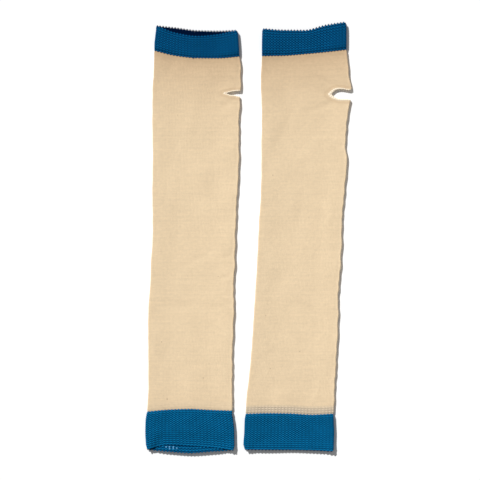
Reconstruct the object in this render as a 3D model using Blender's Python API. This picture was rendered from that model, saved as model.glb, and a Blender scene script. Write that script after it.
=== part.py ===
"""A pair of knitted arm warmers, laid flat side by side.

Each arm warmer is a tube of fine cream jersey, pressed flat, with a ribbed blue cuff at the
hand end and at the arm end, and a thumb slit across the fold on its right side. The pair rests
on the plane z = 0, +Y points to the hands, and the origin is under the middle of the pair.

Every piece is a wall through rings of points. A ring runs round the flattened tube: along the
back panel, round the right fold, along the front panel and round the left fold. The tables
below are in millimetres. Heights called "up" are counted along the tubes from the arm hems.
"""

from collections import namedtuple
from math import cos, radians, sin, sqrt

import bmesh
import bpy
from mathutils import Vector

MM = 0.001

# Cloth
JERSEY_WALL = 1.3
RIB_WALL = 1.4
RIB_HEIGHT = 0.7
JERSEY_FOLD_RADIUS = 2.0
RIB_FOLD_RADIUS = 2.4
LAYER_GAP = 0.5
FOLD_EASE = 24.0
SEAM_GAP = 0.3

# Hems
SCALLOP = 0.8
CORNER_RADIUS = 1.8
MOUTH_DEPTH = 18.0

# Rings
BACK = -90
FRONT = 90
RIGHT_FOLD_TURNS = (-60, -30, 0, 30, 60)
LEFT_FOLD_TURNS = (120, 150, 180, 210, 240)
FOLD_RIBS = (0, 1, 0, 1, 0)
BACK_SPANS = 8
BODY_MIDDLE_COLUMNS = 5
BODY_LEFT_INSETS = (6.0, 10.0)
SEAM_CLEAR = 6.0
SLIT_CLEAR = 8.2
SEAM_REACH = 30.0

PAIR_MIDDLE_UP = 214.7

CREAM = (0.82, 0.64, 0.42, 1.0)
BLUE = (0.004, 0.085, 0.21, 1.0)
JERSEY_ROUGHNESS = 0.9
RIB_ROUGHNESS = 0.85

Section = namedtuple("Section", "up left right")
Line = namedtuple("Line", "left quarter middle three_quarter right")
SlitStep = namedtuple("SlitStep", "inset above below")
RibPoint = namedtuple("RibPoint", "along rise")
CuffRow = namedtuple("CuffRow", "along rib")
Cloth = namedtuple("Cloth", "wall fold_radius rib_height")
Column = namedtuple("Column", "share inset turn rib inner")
Ring = namedtuple("Ring", "outer inner")
Warmer = namedtuple("Warmer", "name sections courses slit_up slit ribs mouths")

JERSEY = Cloth(JERSEY_WALL, JERSEY_FOLD_RADIUS, 0.0)
RIBBING = Cloth(RIB_WALL, RIB_FOLD_RADIUS, RIB_HEIGHT)

LINE_SHARES = (0.0, 0.25, 0.5, 0.75, 1.0)

# Across one rib: groove, up the side, crest and down again
RIB_PROFILE = [
    RibPoint(0.12, 0),
    RibPoint(0.32, 1),
    RibPoint(0.68, 1),
    RibPoint(0.88, 0),
]

# From a cuff's hem to its seam
CUFF_ROWS = [
    CuffRow(0.0, 0.8),
    CuffRow(0.14, 1.0),
    CuffRow(0.55, 1.0),
    CuffRow(0.88, 1.0),
    CuffRow(1.0, 0.4),
]

# up, left fold, right fold
LEFT_SECTIONS = [
    Section(5, -101.6, -13.1),
    Section(20, -102.5, -13.2),
    Section(32, -102.2, -14.1),
    Section(38, -101.5, -15.5),
    Section(42, -100.5, -15.9),
    Section(50, -99.9, -15.5),
    Section(66, -99.2, -15.5),
    Section(98, -99.3, -15.4),
    Section(130, -99.5, -14.1),
    Section(150, -98.8, -13.7),
    Section(162, -97.8, -14.3),
    Section(170, -97.1, -14.1),
    Section(186, -96.8, -12.9),
    Section(202, -95.7, -12.7),
    Section(218, -94.9, -12.3),
    Section(242, -95.0, -11.4),
    Section(258, -95.3, -10.6),
    Section(274, -95.1, -9.4),
    Section(298, -94.8, -8.8),
    Section(330, -95.3, -8.9),
    Section(342, -95.2, -8.1),
    Section(358, -95.1, -7.4),
    Section(370, -94.7, -6.8),
    Section(376, -94.0, -6.8),
    Section(386, -93.7, -6.9),
    Section(395, -93.5, -8.1),
    Section(407, -93.4, -8.7),
    Section(416, -92.5, -9.4),
    Section(422, -91.8, -10.3),
]

RIGHT_SECTIONS = [
    Section(2, -3.8, 86.3),
    Section(8, -4.5, 86.1),
    Section(20, -3.7, 86.5),
    Section(32, -3.3, 86.0),
    Section(38, -2.4, 85.2),
    Section(47, -1.6, 86.1),
    Section(58, -0.9, 86.5),
    Section(74, 1.2, 87.3),
    Section(106, 4.1, 89.1),
    Section(138, 6.2, 90.4),
    Section(154, 7.2, 90.2),
    Section(186, 9.2, 92.7),
    Section(218, 10.8, 94.0),
    Section(234, 11.5, 94.1),
    Section(250, 12.8, 95.8),
    Section(266, 13.3, 96.8),
    Section(282, 13.8, 98.8),
    Section(290, 13.7, 99.1),
    Section(306, 13.7, 97.6),
    Section(322, 14.0, 98.2),
    Section(338, 14.1, 100.2),
    Section(346, 14.0, 101.0),
    Section(352, 13.8, 102.6),
    Section(362, 13.3, 103.3),
    Section(366, 13.2, 102.9),
    Section(374, 13.1, 101.6),
    Section(382, 13.6, 100.7),
    Section(394, 14.0, 99.5),
    Section(404, 13.9, 99.3),
    Section(422, 14.3, 98.8),
    Section(428, 14.8, 98.3),
]

# Heights of the hems and seams, from the left fold to the right fold
LEFT_COURSES = {
    "hand_hem_back": Line(425.8, 423.6, 421.0, 420.5, 421.3),
    "hand_hem_front": Line(425.8, 418.4, 415.2, 416.9, 421.3),
    "hand_seam": Line(401.2, 396.3, 394.1, 394.0, 395.5),
    "arm_seam": Line(40.6, 42.5, 43.2, 42.2, 41.5),
    "arm_hem_front": Line(3.3, 8.3, 7.2, 5.8, 2.4),
    "arm_hem_back": Line(3.2, 1.3, -0.1, 1.5, 2.4),
}

RIGHT_COURSES = {
    "hand_hem_back": Line(422.8, 421.5, 421.3, 426.3, 429.6),
    "hand_hem_front": Line(422.5, 420.9, 420.7, 425.6, 429.3),
    "hand_seam": Line(396.2, 396.5, 398.1, 400.1, 402.3),
    "arm_seam": Line(38.5, 39.0, 38.7, 37.5, 38.6),
    "arm_hem_front": Line(3.3, 3.0, 2.9, 2.5, 1.5),
    "arm_hem_back": Line(3.1, 2.7, 2.6, 2.2, 1.3),
}

# Thumb slits: distance in from the right fold, and how far the lips part up and down
LEFT_SLIT = [
    SlitStep(0.0, 1.6, 2.1),
    SlitStep(4.0, 2.0, 1.8),
    SlitStep(8.0, 1.5, 1.9),
    SlitStep(12.0, 0.6, 1.1),
    SlitStep(16.0, 0.0, 0.0),
]

RIGHT_SLIT = [
    SlitStep(0.0, 4.4, 5.6),
    SlitStep(2.0, 3.8, 5.0),
    SlitStep(5.0, 4.1, 4.8),
    SlitStep(8.0, 4.7, 4.8),
    SlitStep(11.0, 5.0, 4.5),
    SlitStep(14.0, 4.6, 3.7),
    SlitStep(16.5, 3.7, 2.6),
    SlitStep(18.8, 2.3, 1.3),
    SlitStep(19.8, 0.0, 0.0),
]

WARMERS = [
    Warmer(
        name="left",
        sections=LEFT_SECTIONS,
        courses=LEFT_COURSES,
        slit_up=358.5,
        slit=LEFT_SLIT,
        ribs={"hand": 26, "arm": 26},
        mouths={"hand": 1.8, "arm": 0.0},
    ),
    Warmer(
        name="right",
        sections=RIGHT_SECTIONS,
        courses=RIGHT_COURSES,
        slit_up=357.5,
        slit=RIGHT_SLIT,
        ribs={"hand": 26, "arm": 26},
        mouths={"hand": 0.8, "arm": 0.4},
    ),
]


def between(start, end, part):
    """The value at a part of the way from start to end."""
    return start + (end - start) * part


def ease(part):
    """A smooth step from 0 to 1."""
    part = min(1.0, max(0.0, part))
    return part * part * (3.0 - 2.0 * part)


def slope_at(before, after):
    """The slope where two stretches meet, with no overshoot past either."""
    if before * after <= 0.0:
        return 0.0
    return 2.0 * before * after / (before + after)


def smooth(places, values, at):
    """A smooth curve through the values at the places, level beyond its two ends."""
    if at <= places[0]:
        return values[0]
    if at >= places[-1]:
        return values[-1]
    last = len(places) - 2
    index = max(i for i in range(last + 1) if places[i] <= at)
    slopes = [
        (values[i + 1] - values[i]) / (places[i + 1] - places[i])
        for i in range(last + 1)
    ]
    here = slopes[index]
    start = slope_at(slopes[index - 1], here) if index > 0 else here
    end = slope_at(here, slopes[index + 1]) if index < last else here
    span = places[index + 1] - places[index]
    t = (at - places[index]) / span
    bend_in = (start - here) * t * (1.0 - t) ** 2
    bend_out = (here - end) * t ** 2 * (1.0 - t)
    return between(values[index], values[index + 1], t) + span * (bend_in + bend_out)


def folds(warmer, up):
    """x of the left and right folds at a height."""
    places = [section.up for section in warmer.sections]
    left = smooth(places, [section.left for section in warmer.sections], up)
    right = smooth(places, [section.right for section in warmer.sections], up)
    return left, right


def course(warmer, name, share):
    """Height of a hem or seam at a share of the way from the left fold to the right."""
    return smooth(LINE_SHARES, warmer.courses[name], share)


def course_middle(warmer, name):
    """Mean height of a hem or seam."""
    line = warmer.courses[name]
    return sum(line) / len(line)


def share_across(warmer, column, up):
    """How far across the tube a column stands: 0 at the left fold, 1 at the right."""
    left, right = folds(warmer, up)
    return column.share + column.inset / (right - left)


def place(warmer, cloth, column, up, rib=1.0, inside=False, mouth=0.0):
    """A point on the outer face of the wall, or on its inner face."""
    left, right = folds(warmer, up)
    out_x = cos(radians(column.turn))
    out_z = sin(radians(column.turn))
    x = between(left, right, column.share) + column.inset
    z = cloth.fold_radius * (1.0 + out_z)
    if column.turn == FRONT:
        from_fold = min(x - left, right - x) - cloth.fold_radius
        flat_height = 2.0 * cloth.wall + LAYER_GAP
        z = between(z, flat_height, ease(from_fold / FOLD_EASE))
        z += mouth * ease(from_fold / (0.5 * (right - left)))
    raised = column.rib * rib * cloth.rib_height * (1.0 + out_z) / 2.0
    outward = -cloth.wall if inside else raised
    return Vector((x + outward * out_x, up - PAIR_MIDDLE_UP, z + outward * out_z)) * MM


def fold_columns(cloth, share, turns, ribs):
    """Columns round a fold, from one panel to the other."""
    side = 1.0 - 2.0 * share
    edge = side * cloth.fold_radius
    return [
        Column(share, edge + cloth.fold_radius * cos(radians(turn)), turn, rib, True)
        for turn, rib in zip(turns, ribs)
    ]


def panel_column(start, end, part, turn, rib=0, inner=True):
    """A column on a panel, at a part of the way between two insets from the two folds."""
    return Column(part, between(start, -end, part), turn, rib, inner)


def cuff_columns(ribs):
    """Columns round a cuff, with ribs on all but the panel that rests."""
    edge = RIBBING.fold_radius
    back = [
        panel_column(edge, edge, index / BACK_SPANS, BACK) for index in range(BACK_SPANS + 1)
    ]
    front = []
    for index in reversed(range(ribs)):
        for point in reversed(RIB_PROFILE):
            part = (index + point.along) / ribs
            first = point is RIB_PROFILE[-1]
            front.append(panel_column(edge, edge, part, FRONT, point.rise, first))
    return (
        back
        + fold_columns(RIBBING, 1.0, RIGHT_FOLD_TURNS, FOLD_RIBS)
        + front
        + fold_columns(RIBBING, 0.0, LEFT_FOLD_TURNS, FOLD_RIBS)
    )


def body_columns(slit):
    """Columns round a body, with one at each step of the slit on both panels."""
    edge = JERSEY.fold_radius
    right_insets = [step.inset for step in slit if step.inset > edge]
    left_columns = [(0.0, inset) for inset in (edge,) + BODY_LEFT_INSETS]
    right_columns = [(1.0, -inset) for inset in reversed([edge] + right_insets)]
    middle_columns = []
    for index in range(1, BODY_MIDDLE_COLUMNS + 1):
        part = index / (BODY_MIDDLE_COLUMNS + 1)
        inset = between(BODY_LEFT_INSETS[-1], -right_insets[-1], part)
        middle_columns.append((part, inset))
    across = left_columns + middle_columns + right_columns
    back = [Column(share, inset, BACK, 0, True) for share, inset in across]
    front = [Column(share, inset, FRONT, 0, True) for share, inset in reversed(across)]
    no_ribs = [0] * len(FOLD_RIBS)
    return (
        back
        + fold_columns(JERSEY, 1.0, RIGHT_FOLD_TURNS, no_ribs)
        + front
        + fold_columns(JERSEY, 0.0, LEFT_FOLD_TURNS, no_ribs)
    )


def join_rings(mesh, first, second):
    """Outer and inner wall between two rings."""
    count = len(first.outer)
    for index in range(count):
        after = (index + 1) % count
        mesh.faces.new(
            (first.outer[index], first.outer[after], second.outer[after], second.outer[index])
        )
    kept = [index for index in range(count) if first.inner[index]]
    for index, after in zip(kept, kept[1:] + kept[:1]):
        mesh.faces.new(
            (first.inner[index], second.inner[index], second.inner[after], first.inner[after])
        )


def close_ring(mesh, ring):
    """The cloth's edge, from the outer face to the inner face."""
    count = len(ring.outer)
    kept = [index for index in range(count) if ring.inner[index]]
    for index, after in zip(kept, kept[1:] + [kept[0] + count]):
        outside = [ring.outer[step % count] for step in range(index, after + 1)]
        mesh.faces.new(outside + [ring.inner[after % count], ring.inner[index]])


def cuff_ring(mesh, warmer, end, columns, row):
    """One ring of a cuff, at a row's place between its hem and its seam."""
    outward = 1.0 if end == "hand" else -1.0
    seam_middle = course_middle(warmer, end + "_seam")
    outer = []
    inner = []
    for column in columns:
        share = share_across(warmer, column, seam_middle)
        front = course(warmer, end + "_hem_front", share)
        back = course(warmer, end + "_hem_back", share)
        hem = between(back, front, (1.0 + sin(radians(column.turn))) / 2.0)
        seam = course(warmer, end + "_seam", share) + outward * SEAM_GAP / 2.0
        left, right = folds(warmer, hem)
        from_fold = min(share, 1.0 - share) * (right - left)
        short = max(0.0, 1.0 - from_fold / CORNER_RADIUS)
        corner = CORNER_RADIUS * (1.0 - sqrt(1.0 - short ** 2))
        hem += outward * (SCALLOP * (column.rib - 0.5) - corner)
        up = between(hem, seam, row.along)
        from_hem = row.along * abs(seam - hem)
        mouth = warmer.mouths[end] * ease(1.0 - from_hem / MOUTH_DEPTH)
        outer.append(mesh.verts.new(place(warmer, RIBBING, column, up, row.rib, mouth=mouth)))
        inside = None
        if column.inner:
            inside = mesh.verts.new(
                place(warmer, RIBBING, column, up, inside=True, mouth=mouth)
            )
        inner.append(inside)
    return Ring(outer, inner)


def cuff_mesh(warmer, end):
    """A ribbed cuff, from its scalloped hem to its seam."""
    mesh = bmesh.new()
    columns = cuff_columns(warmer.ribs[end])
    rings = [cuff_ring(mesh, warmer, end, columns, row) for row in CUFF_ROWS]
    for first, second in zip(rings, rings[1:]):
        join_rings(mesh, first, second)
    close_ring(mesh, rings[0])
    close_ring(mesh, rings[-1])
    return mesh


def seam_tilt(warmer, share, up):
    """How far the seams' slant and sag still move a course at this height."""
    tilt = 0.0
    for name in ("arm_seam", "hand_seam"):
        middle = course_middle(warmer, name)
        near = ease(1.0 - abs(up - middle) / SEAM_REACH)
        tilt += near * (course(warmer, name, share) - middle)
    return tilt


def slit_opening(warmer, inset):
    """How far the slit's upper and lower lips part at a distance from the right fold."""
    insets = [step.inset for step in warmer.slit]
    above = smooth(insets, [step.above for step in warmer.slit], inset)
    below = smooth(insets, [step.below for step in warmer.slit], inset)
    return above, below


def body_ring(mesh, warmer, columns, up, shift=0.0, lip=0, below=None):
    """One ring of a body. A lip of -1 or 1 is the slit's lower or upper side."""
    depth = warmer.slit[-1].inset
    outer = []
    inner = []
    for index, column in enumerate(columns):
        share = share_across(warmer, column, up)
        height = up + seam_tilt(warmer, share, up) + shift
        left, right = folds(warmer, up)
        inset = (1.0 - share) * (right - left)
        if below and inset > depth - SEAM_GAP:
            outer.append(below.outer[index])
            inner.append(below.inner[index])
            continue
        if lip:
            opening = slit_opening(warmer, inset)
            height += opening[0] if lip > 0 else -opening[1]
        outer.append(mesh.verts.new(place(warmer, JERSEY, column, height)))
        inner.append(mesh.verts.new(place(warmer, JERSEY, column, height, inside=True)))
    return Ring(outer, inner)


def slit_edges(mesh, lower, upper):
    """The cloth's edge all along the slit's two lips."""
    parted = [a is not b for a, b in zip(lower.outer, upper.outer)]
    for index in range(len(parted) - 1):
        if parted[index] or parted[index + 1]:
            for ring in (lower, upper):
                mesh.faces.new(
                    (
                        ring.outer[index],
                        ring.outer[index + 1],
                        ring.inner[index + 1],
                        ring.inner[index],
                    )
                )


def body_mesh(warmer):
    """A jersey tube from the arm seam to the hand seam, slit for the thumb."""
    mesh = bmesh.new()
    columns = body_columns(warmer.slit)
    arm = course_middle(warmer, "arm_seam")
    hand = course_middle(warmer, "hand_seam")
    heights = [
        section.up
        for section in warmer.sections
        if arm + SEAM_CLEAR < section.up < hand - SEAM_CLEAR
        and abs(section.up - warmer.slit_up) > SLIT_CLEAR
    ]
    under = [up for up in heights if up < warmer.slit_up]
    over = [up for up in heights if up > warmer.slit_up]
    arm_ring = body_ring(mesh, warmer, columns, arm, shift=SEAM_GAP / 2.0)
    lower_rings = [body_ring(mesh, warmer, columns, up) for up in under]
    lower_lip = body_ring(mesh, warmer, columns, warmer.slit_up, lip=-1)
    upper_lip = body_ring(mesh, warmer, columns, warmer.slit_up, lip=1, below=lower_lip)
    upper_rings = [body_ring(mesh, warmer, columns, up) for up in over]
    hand_ring = body_ring(mesh, warmer, columns, hand, shift=-SEAM_GAP / 2.0)
    below_slit = [arm_ring] + lower_rings + [lower_lip]
    above_slit = [upper_lip] + upper_rings + [hand_ring]
    for rings in (below_slit, above_slit):
        for first, second in zip(rings, rings[1:]):
            join_rings(mesh, first, second)
    slit_edges(mesh, lower_lip, upper_lip)
    close_ring(mesh, arm_ring)
    close_ring(mesh, hand_ring)
    return mesh


def make_material(name, colour, roughness):
    """A plain cloth material."""
    material = bpy.data.materials.new(name)
    material.use_nodes = True
    shader = material.node_tree.nodes["Principled BSDF"]
    shader.inputs["Base Color"].default_value = colour
    shader.inputs["Roughness"].default_value = roughness
    shader.inputs["Metallic"].default_value = 0.0
    return material


def make_object(name, mesh, material):
    """A scene object from a finished mesh, with its faces turned out."""
    bmesh.ops.recalc_face_normals(mesh, faces=mesh.faces)
    data = bpy.data.meshes.new(name)
    mesh.to_mesh(data)
    mesh.free()
    data.materials.append(material)
    data.shade_smooth()
    data.set_sharp_from_angle(angle=radians(50))
    piece = bpy.data.objects.new(name, data)
    bpy.context.collection.objects.link(piece)


def main():
    for leftover in list(bpy.data.objects):
        bpy.data.objects.remove(leftover)
    jersey = make_material("cream_jersey", CREAM, JERSEY_ROUGHNESS)
    ribbing = make_material("blue_rib", BLUE, RIB_ROUGHNESS)
    for warmer in WARMERS:
        make_object("body_" + warmer.name, body_mesh(warmer), jersey)
        for end in ("hand", "arm"):
            make_object(f"{end}_cuff_{warmer.name}", cuff_mesh(warmer, end), ribbing)


main()
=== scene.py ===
"""Looks of a pair of knitted arm warmers, laid flat side by side and seen from straight above.

Each arm warmer is a tube of fine cream jersey with a thumb slit in its right fold, a ribbed blue
cuff at both ends and a corded edge round the slit. Sizes and tables are in millimetres and turn
into metres when a mesh is made. Heights called "up" are counted along the tubes from the hems.
"""

from collections import namedtuple
from math import cos, pi, radians, sin

import bpy
import numpy as np
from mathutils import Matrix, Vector


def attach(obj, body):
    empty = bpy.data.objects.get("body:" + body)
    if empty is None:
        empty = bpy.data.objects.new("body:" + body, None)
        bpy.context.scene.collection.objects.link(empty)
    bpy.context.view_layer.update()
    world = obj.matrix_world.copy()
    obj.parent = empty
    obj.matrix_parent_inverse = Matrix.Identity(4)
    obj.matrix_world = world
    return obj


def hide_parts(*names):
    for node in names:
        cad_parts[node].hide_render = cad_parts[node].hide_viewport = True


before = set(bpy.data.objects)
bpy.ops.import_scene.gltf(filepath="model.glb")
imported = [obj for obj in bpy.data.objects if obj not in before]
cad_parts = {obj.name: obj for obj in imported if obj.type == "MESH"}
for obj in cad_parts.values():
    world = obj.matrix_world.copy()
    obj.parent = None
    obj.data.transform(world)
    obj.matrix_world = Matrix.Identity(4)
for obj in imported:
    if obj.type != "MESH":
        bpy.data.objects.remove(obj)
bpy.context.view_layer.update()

MM = 0.001
BODY = "root"

# Cloth, as in the solids
JERSEY_WALL = 1.3
JERSEY_RADIUS = 2.0
RIB_WALL_BACK = 1.4
RIB_WALL_FRONT = 2.1
RIB_RADIUS = 2.75
LAYER_GAP = 0.5
FOLD_EASE = 24.0
CORNER_RADIUS = 1.8
MOUTH_DEPTH = 18.0
MOUTH_REACH = {"hand": 40.0, "arm": 14.0}
MOUTH_FOLD_EASE = {"hand": 24.0, "arm": 9.0}
PAIR_MIDDLE_UP = 214.7

# A pressed fold's cross section
BACK = -90.0
FRONT = 90.0
FOLD_SQUARENESS = 0.4
FOLD_SAMPLES = 361

# Ribbed knit. OUTWARD is the way out of the tube
OUTWARD = {"hand": 1.0, "arm": -1.0}
COURSES_IN_CUFF = {"hand": 10, "arm": 17}
RIB_PITCH = {"hand": 3.15, "arm": 3.4}
COLUMNS_PER_RIB = 10
ROWS_PER_COURSE = 7
CUFF_WIDTH_PLACE = 12.0
RIB_RELIEF_FRONT = 0.65
RIB_RELIEF_BACK = 0.55
HEM_RELIEF = 0.55
SEAM_RELIEF = 0.25
RELIEF_EASE = 0.05
INSIDE_RELIEF = 0.4
# Stitches inside are painted dimmer, as painted shade
INSIDE_LIGHT = 0.8
INSIDE_FINE_DEPTH = 7.0
INSIDE_FINE_ROWS = 20
INSIDE_COARSE_ROWS = 8
RIM_PLACE = -0.012
RIM_DEPTHS = (0.38, 0.68)
SCALLOP_FRONT = {"hand": 1.0, "arm": 0.8}
SCALLOP_BACK = {"hand": 1.6, "arm": 0.9}
SCALLOP_MIDDLE = 0.5
TEETH = {"hand": 1.0, "arm": 0.6}
TEETH_MIDDLE = 0.4
HEM_THINNING = {"hand": 0.8, "arm": 1.1}
HEM_BEVEL = {"hand": 0.0, "arm": 1.0}
HEM_BEVEL_REACH = 3.2
HEM_LEAST_WALL = 0.25
# Painted shade along the outside of each hem
HEM_SHADE = {"hand": 0.20, "arm": 0.0}
HEM_SHADE_REACH = 1.8
SEAM_EASE = {"hand": 5.0, "arm": 3.0}
SEAM_RADIUS = 2.1
SEAM_HEIGHT = 3.3
SEAM_THINNING = 0.75
CURL_REACH = 14.0

# Rib stitches, in parts of a rib and a course, and how light and dark they are painted
RIB_HEIGHT = 0.3
LEG_HEIGHT = 0.6
LEG_WIDTH = 0.20
LEG_SPREAD_LOW = 0.06
LEG_SPREAD_HIGH = 0.24
LEG_REACH = 1.25
LEG_PLUMPNESS = 0.8
PURL_WIDTH = 0.27
PURL_LENGTH = 0.42
PURL_HEIGHT = 0.72
DOT_CONTRAST = {"hand": 0.78, "arm": 0.55}
ROW_CONTRAST = {"hand": 0.10, "arm": 0.08}
RIB_CONTRAST = {"hand": 0.16, "arm": 0.06}

# Jersey
WALE = 1.5
COURSE = 1.15
FINE_STEP = 1.0
COARSE_STEP = 1.8
FOLD_COLUMNS = 9
SEAM_REACH = 30.0
SLIT_REACH = 16.0
TUCK_LENGTH = 1.2
TUCK_DEPTH = 0.9
TUCK_EASE = 2.5
RIPPLE_START = 4.0
RIPPLE_EASE = 12.0
CREASE_SIZE = 0.75
CREASE_EASE = 3.0
CREAM_RIB_END = 8.75
CREAM_RIB_FADE = 2.8
SAME_PLACE = 0.001

# Corded edge of the thumb slits
CORD_HALF_HEIGHT = 0.86
CORD_BEAD = 0.16
BEAD_PITCH = 2.1
BEAD_SLANT = 0.5
BEAD_FULLNESS = 0.6
CORD_STEP = 0.25
CORD_SIDES = 14
TIP_SPREAD = 3
TIP_SQUARENESS = 8

# Photo frame and light
FRAME_WIDTH = 480.0
PHOTO_CENTRE = (-7.75, -2.7)
LENS = 150.0
SENSOR = 36.0
CLIP_END = 20.0
KEY_FROM = (-0.62, 0.78)
KEY_ELEVATION = 44.0
KEY_ANGLE = 1.6
KEY_STRENGTH = 3.75
AMBIENT = 0.24
FLOOR_SIZE = 12.0

LINE_SHARES = (0.0, 0.25, 0.5, 0.75, 1.0)

Wave = namedtuple("Wave", "length sway sway_length size")
Fade = namedtuple("Fade", "size reach power")
Rims = namedtuple("Rims", "above tip below")
Warmer = namedtuple("Warmer", "name sections courses slit_up slit rims mouths curls ribbed creases")
Columns = namedtuple("Columns", "share inset out_x out_z on_top spot round_all")
CuffRows = namedtuple("CuffRows", "along outer rim from_hem near_hem near_seam")

# Small waves in the folds, and slow swells of the panel on top
LEFT_RIPPLES = [Wave(3.1, 1.7, 19.0, 0.088)]
RIGHT_RIPPLES = [Wave(2.3, 2.1, 13.0, 0.22), Wave(4.1, 1.3, 29.0, 0.176)]
SWELL_ACROSS = Wave(9.0, 1.3, 31.0, 0.16)
SWELL_ALONG = Wave(7.3, 1.7, 11.0, 0.10)
SWELL_SLANT = (23.0, 17.0)

NO_CURL = (0.0, 0.0, 0.0, 0.0, 0.0)

# Heights up, and x of the left and right folds there
LEFT_SECTIONS = [
    (5, -101.6, -13.1),
    (20, -102.5, -13.2),
    (32, -102.2, -14.3),
    (38, -101.3, -15.3),
    (42, -100.5, -15.2),
    (50, -99.9, -15.5),
    (66, -99.2, -15.5),
    (98, -99.3, -15.4),
    (130, -99.5, -14.1),
    (150, -98.8, -13.7),
    (162, -97.8, -14.3),
    (170, -97.1, -14.1),
    (186, -96.8, -12.9),
    (202, -95.7, -12.7),
    (218, -94.9, -12.3),
    (242, -95.0, -11.4),
    (258, -95.3, -10.6),
    (274, -95.1, -9.4),
    (298, -94.8, -8.8),
    (330, -95.3, -8.9),
    (342, -95.2, -8.1),
    (358, -95.1, -7.4),
    (370, -94.7, -6.8),
    (376, -94.0, -6.8),
    (386, -93.7, -6.9),
    (395, -93.5, -8.1),
    (407, -93.4, -8.7),
    (416, -92.5, -9.4),
    (422, -91.8, -10.3),
]

RIGHT_SECTIONS = [
    (2, -3.8, 86.3),
    (8, -4.5, 86.1),
    (20, -3.7, 86.5),
    (32, -3.3, 86.0),
    (38, -2.4, 85.8),
    (47, -1.6, 86.1),
    (58, -0.9, 86.5),
    (74, 1.2, 87.3),
    (106, 4.1, 89.1),
    (138, 6.2, 90.4),
    (154, 7.2, 90.2),
    (186, 9.2, 92.7),
    (218, 10.8, 94.0),
    (234, 11.5, 94.1),
    (250, 12.8, 95.8),
    (266, 13.3, 96.8),
    (282, 13.8, 98.8),
    (290, 13.7, 99.1),
    (306, 13.7, 97.6),
    (322, 14.0, 98.2),
    (338, 14.1, 100.2),
    (346, 14.0, 101.0),
    (352, 13.8, 102.9),
    (362, 13.3, 103.3),
    (366, 13.2, 102.9),
    (374, 13.1, 101.6),
    (382, 13.6, 100.7),
    (394, 14.0, 99.5),
    (404, 13.9, 98.7),
    (422, 14.3, 98.8),
    (428, 14.8, 98.3),
]

# Heights of the hems and seams, from the left fold to the right fold
LEFT_COURSES = {
    "hand_hem_back": (425.8, 423.6, 421.0, 420.5, 421.3),
    "hand_hem_front": (425.8, 418.4, 415.2, 416.9, 421.3),
    "hand_seam": (401.0, 396.0, 393.7, 393.5, 395.1),
    "arm_seam": (40.6, 42.5, 43.2, 42.2, 41.5),
    "arm_hem_front": (3.3, 7.9, 6.8, 5.3, 2.4),
    "arm_hem_back": (3.2, 1.3, -0.2, 1.4, 2.4),
}

RIGHT_COURSES = {
    "hand_hem_back": (422.8, 421.5, 421.3, 426.3, 429.6),
    "hand_hem_front": (422.5, 420.9, 420.7, 425.6, 429.3),
    "hand_seam": (395.6, 396.0, 397.6, 399.6, 401.9),
    "arm_seam": (38.5, 39.0, 38.7, 37.5, 38.6),
    "arm_hem_front": (3.3, 3.0, 2.9, 2.5, 1.5),
    "arm_hem_back": (3.1, 2.7, 2.6, 2.2, 1.3),
}

# Thumb slits: distance in from the right fold, and how far the lips part up and down
LEFT_SLIT = [
    (0.0, 2.1, 3.2),
    (1.5, 2.1, 3.0),
    (3.0, 2.1, 2.5),
    (6.0, 1.8, 1.8),
    (9.5, 1.3, 1.7),
    (11.2, 0.8, 1.2),
    (12.5, 0.25, 0.4),
    (13.8, 0.08, 0.1),
    (16.5, 0.0, 0.0),
]

RIGHT_SLIT = [
    (0.0, 4.4, 5.2),
    (2.0, 3.8, 4.9),
    (5.0, 4.1, 4.8),
    (8.0, 4.7, 4.8),
    (11.0, 5.0, 4.5),
    (14.0, 4.6, 3.7),
    (16.5, 3.7, 2.6),
    (18.8, 2.3, 1.3),
    (19.8, 0.0, 0.0),
]

# Soft creases: share across, up, half length, half width, height, degrees from straight across
LEFT_CREASES = [
    (0.93, 196, 9, 1.6, -0.40, 12),
    (0.95, 186, 7, 1.4, -0.35, -8),
    (0.94, 176, 10, 1.7, -0.45, 18),
    (0.96, 168, 6, 1.3, -0.30, -4),
    (0.93, 158, 9, 1.8, -0.35, 10),
    (0.95, 149, 7, 1.4, -0.30, -12),
    (0.55, 193, 22, 3.2, -0.30, 28),
    (0.30, 146, 26, 4, -0.30, 2),
    (0.80, 145, 12, 3, -0.28, 6),
    (0.72, 372, 14, 3.2, -0.35, -62),
    (0.20, 385, 12, 3.6, -0.30, 66),
    (0.45, 330, 30, 5, 0.28, 74),
    (0.25, 262, 34, 5.5, 0.25, 82),
    (0.62, 240, 24, 4.5, 0.25, -70),
    (0.18, 92, 20, 4, -0.25, 70),
    (0.50, 60, 18, 4, 0.25, 85),
    (0.84, 347, 12, 2.6, -0.35, 32),
    (0.86, 372, 10, 2.4, -0.30, -30),
]

RIGHT_CREASES = [
    (0.70, 371, 16, 2.6, -0.45, -24),
    (0.66, 360, 20, 3, -0.35, -6),
    (0.72, 346, 16, 2.8, -0.40, 22),
    (0.93, 304, 9, 2, -0.35, 10),
    (0.95, 318, 8, 1.8, -0.30, -14),
    (0.30, 330, 26, 4.5, -0.30, 64),
    (0.55, 300, 30, 5, 0.28, 50),
    (0.85, 232, 22, 4, 0.30, 84),
    (0.45, 226, 28, 5, -0.26, 78),
    (0.62, 143, 12, 2.6, -0.32, -28),
    (0.52, 112, 13, 2.6, -0.35, -34),
    (0.70, 96, 10, 2.4, -0.30, -30),
    (0.22, 98, 6, 2.4, -0.28, 20),
    (0.40, 66, 22, 4, -0.30, 4),
    (0.15, 180, 26, 4.5, 0.25, 80),
    (0.80, 60, 16, 3, 0.25, 70),
]
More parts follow.
